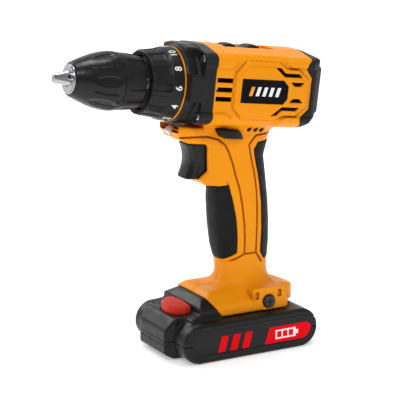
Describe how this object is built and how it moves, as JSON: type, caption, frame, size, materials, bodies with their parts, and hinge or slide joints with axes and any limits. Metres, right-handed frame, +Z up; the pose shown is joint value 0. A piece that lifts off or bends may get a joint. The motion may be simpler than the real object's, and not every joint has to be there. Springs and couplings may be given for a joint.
{
  "type": "cordless drill",
  "caption": "Pistol-grip cordless drill driver with keyless chuck, clutch collar, gearbox, trigger and slide-on battery pack with a release button.",
  "frame": {"origin": "middle of the battery pack's resting face, on the floor the drill stands on", "axes": "+Z up, +X towards the back of the drill, so the chuck points to -X; +Y is the drill's right side"},
  "size_m": [0.1852, 0.0728, 0.2095],
  "materials": {
    "orange_housing": "satin moulded nylon",
    "orange_trim": "gloss",
    "black_plastic": "fine spark-eroded texture",
    "black_gloss": "gloss label",
    "grip_rubber": "soft overmould",
    "red_plastic": "satin",
    "bright_steel": "turned and polished",
    "dark_steel": "black oxide",
    "sintered_steel": "sintered, greased",
    "brass_contacts": "tinned",
    "nickel": "rolled strip",
    "cell_wrap": "shrink sleeve",
    "circuit_board": "solder mask",
    "lamp_lens": "clear lens"
  },
  "bodies": {
    "drill_body": {"accessory_screws": "dark_steel", "charge_lights": "black_plastic", "clutch_nut": "bright_steel", "clutch_plate": "bright_steel", "clutch_spring": "bright_steel", "collar_trim_ring": "orange_trim", "gear_housing": "black_plastic", "gear_housing_screws": "bright_steel", "gearbox_plate": "bright_steel", "housing_screws": "dark_steel", "left_grips": "grip_rubber", "left_housing": "orange_housing", "motor_can": "dark_steel", "motor_end_cap": "black_plastic", "motor_magnets": "dark_steel", "nameplates": "black_gloss", "rear_cover": "black_plastic", "right_grips": "grip_rubber", "right_housing": "orange_housing", "spindle_bearing": "bright_steel", "stage_1_annulus": "sintered_steel", "switch_module": "black_plastic", "terminal_holder": "black_plastic", "tool_terminals": "brass_contacts", "trigger_spring": "bright_steel", "work_light": "lamp_lens"},
    "spindle": {"output_spindle": "bright_steel", "chuck_body": "bright_steel", "chuck_rear_sleeve": "black_plastic", "chuck_screw": "dark_steel"},
    "chuck_sleeve": {"chuck_front_sleeve": "black_plastic", "chuck_nut": "bright_steel"},
    "jaw_1": {"chuck_jaw_1": "bright_steel"},
    "jaw_2": {"chuck_jaw_2": "bright_steel"},
    "jaw_3": {"chuck_jaw_3": "bright_steel"},
    "rotor": {"motor_shaft": "bright_steel", "motor_armature": "dark_steel", "motor_pinion": "sintered_steel"},
    "carrier": {"stage_1_carrier": "sintered_steel"},
    "planet_1a": {"stage_1_planet_a": "sintered_steel"},
    "planet_1b": {"stage_1_planet_b": "sintered_steel"},
    "planet_1c": {"stage_1_planet_c": "sintered_steel"},
    "planet_2a": {"stage_2_planet_a": "sintered_steel"},
    "planet_2b": {"stage_2_planet_b": "sintered_steel"},
    "planet_2c": {"stage_2_planet_c": "sintered_steel"},
    "clutch_collar": {"torque_collar": "black_plastic"},
    "direction_switch": {"direction_selector": "black_plastic"},
    "trigger": {"trigger": "black_plastic"},
    "speed_shift": {"speed_selector": "black_plastic", "shift_yoke": "bright_steel", "stage_2_annulus": "sintered_steel"},
    "battery_pack": {"battery_lower_case": "black_plastic", "battery_upper_case": "black_plastic", "battery_plates": "black_plastic", "battery_cells": "cell_wrap", "cell_links": "nickel", "battery_board": "circuit_board", "battery_terminals": "brass_contacts", "release_spring": "bright_steel"},
    "release_button": {"release_button": "red_plastic"}
  },
  "joints": [
    {"name": "spindle_spin", "type": "hinge", "parent": "drill_body", "child": "spindle", "pos_m": [-0.0019, 0, 0.1774], "axis": [0.9925, 0, -0.1219], "continuous": true},
    {"name": "rotor_spin", "type": "hinge", "parent": "drill_body", "child": "rotor", "pos_m": [-0.0019, 0, 0.1774], "axis": [0.9925, 0, -0.1219], "continuous": true},
    {"name": "carrier_spin", "type": "hinge", "parent": "drill_body", "child": "carrier", "pos_m": [-0.0019, 0, 0.1774], "axis": [0.9925, 0, -0.1219], "continuous": true},
    {"name": "planet_1a_spin", "type": "hinge", "parent": "carrier", "child": "planet_1a", "pos_m": [-0.02671, 0.0108, 0.18045], "axis": [0.9925, 0, -0.1219], "continuous": true},
    {"name": "planet_1b_spin", "type": "hinge", "parent": "carrier", "child": "planet_1b", "pos_m": [-0.02557, -0.0054, 0.18973], "axis": [0.9925, 0, -0.1219], "continuous": true},
    {"name": "planet_1c_spin", "type": "hinge", "parent": "carrier", "child": "planet_1c", "pos_m": [-0.02785, -0.0054, 0.17116], "axis": [0.9925, 0, -0.1219], "continuous": true},
    {"name": "planet_2a_spin", "type": "hinge", "parent": "spindle", "child": "planet_2a", "pos_m": [-0.03664, 0.0108, 0.18167], "axis": [0.9925, 0, -0.1219], "continuous": true},
    {"name": "planet_2b_spin", "type": "hinge", "parent": "spindle", "child": "planet_2b", "pos_m": [-0.0355, -0.0054, 0.19095], "axis": [0.9925, 0, -0.1219], "continuous": true},
    {"name": "planet_2c_spin", "type": "hinge", "parent": "spindle", "child": "planet_2c", "pos_m": [-0.03778, -0.0054, 0.17238], "axis": [0.9925, 0, -0.1219], "continuous": true},
    {"name": "sleeve_turn", "type": "hinge", "parent": "spindle", "child": "chuck_sleeve", "pos_m": [-0.0019, 0, 0.1774], "axis": [0.9925, 0, -0.1219], "range_deg": [0, 3420]},
    {"name": "jaw_1_slide", "type": "slide", "parent": "spindle", "child": "jaw_1", "axis": [0.9925, 0, 0.1219], "range_m": [0, 0.019]},
    {"name": "jaw_2_slide", "type": "slide", "parent": "spindle", "child": "jaw_2", "axis": [0.9483, -0.2095, -0.2383], "range_m": [0, 0.019]},
    {"name": "jaw_3_slide", "type": "slide", "parent": "spindle", "child": "jaw_3", "axis": [0.9483, 0.2095, -0.2383], "range_m": [0, 0.019]},
    {"name": "collar_turn", "type": "hinge", "parent": "drill_body", "child": "clutch_collar", "pos_m": [-0.0019, 0, 0.1774], "axis": [0.9925, 0, -0.1219], "range_deg": [-167.75, 106.75]},
    {"name": "direction_slide", "type": "slide", "parent": "drill_body", "child": "direction_switch", "axis": [0, 1, 0], "range_m": [-0.0025, 0.0025]},
    {"name": "trigger_pull", "type": "slide", "parent": "drill_body", "child": "trigger", "axis": [1, 0, 0], "range_m": [0, 0.006], "stiffness_N_per_m": 900, "springref_m": -0.004, "deforming": ["trigger_spring"]},
    {"name": "speed_slide", "type": "slide", "parent": "drill_body", "child": "speed_shift", "axis": [0.9925, 0, -0.1219], "range_m": [0, 0.0035]},
    {"name": "battery_slide", "type": "slide", "parent": "drill_body", "child": "battery_pack", "axis": [-1, 0, 0], "range_m": [0, 0.09]},
    {"name": "button_press", "type": "slide", "parent": "battery_pack", "child": "release_button", "axis": [0, 0, -1], "range_m": [0, 0.003], "stiffness_N_per_m": 1500, "springref_m": -0.002, "deforming": ["release_spring"]}
  ],
  "couplings": [
    {"joint": "spindle_spin", "follows": "rotor_spin", "ratio": 0.0625},
    {"joint": "carrier_spin", "follows": "rotor_spin", "ratio": 0.25},
    {"joint": "planet_1a_spin", "follows": "rotor_spin", "ratio": -0.75},
    {"joint": "planet_1b_spin", "follows": "rotor_spin", "ratio": -0.75},
    {"joint": "planet_1c_spin", "follows": "rotor_spin", "ratio": -0.75},
    {"joint": "planet_2a_spin", "follows": "rotor_spin", "ratio": -0.1875},
    {"joint": "planet_2b_spin", "follows": "rotor_spin", "ratio": -0.1875},
    {"joint": "planet_2c_spin", "follows": "rotor_spin", "ratio": -0.1875},
    {"joint": "jaw_1_slide", "follows": "sleeve_turn", "m_per_rad": 0.00031831},
    {"joint": "jaw_2_slide", "follows": "sleeve_turn", "m_per_rad": 0.00031831},
    {"joint": "jaw_3_slide", "follows": "sleeve_turn", "m_per_rad": 0.00031831}
  ]
}
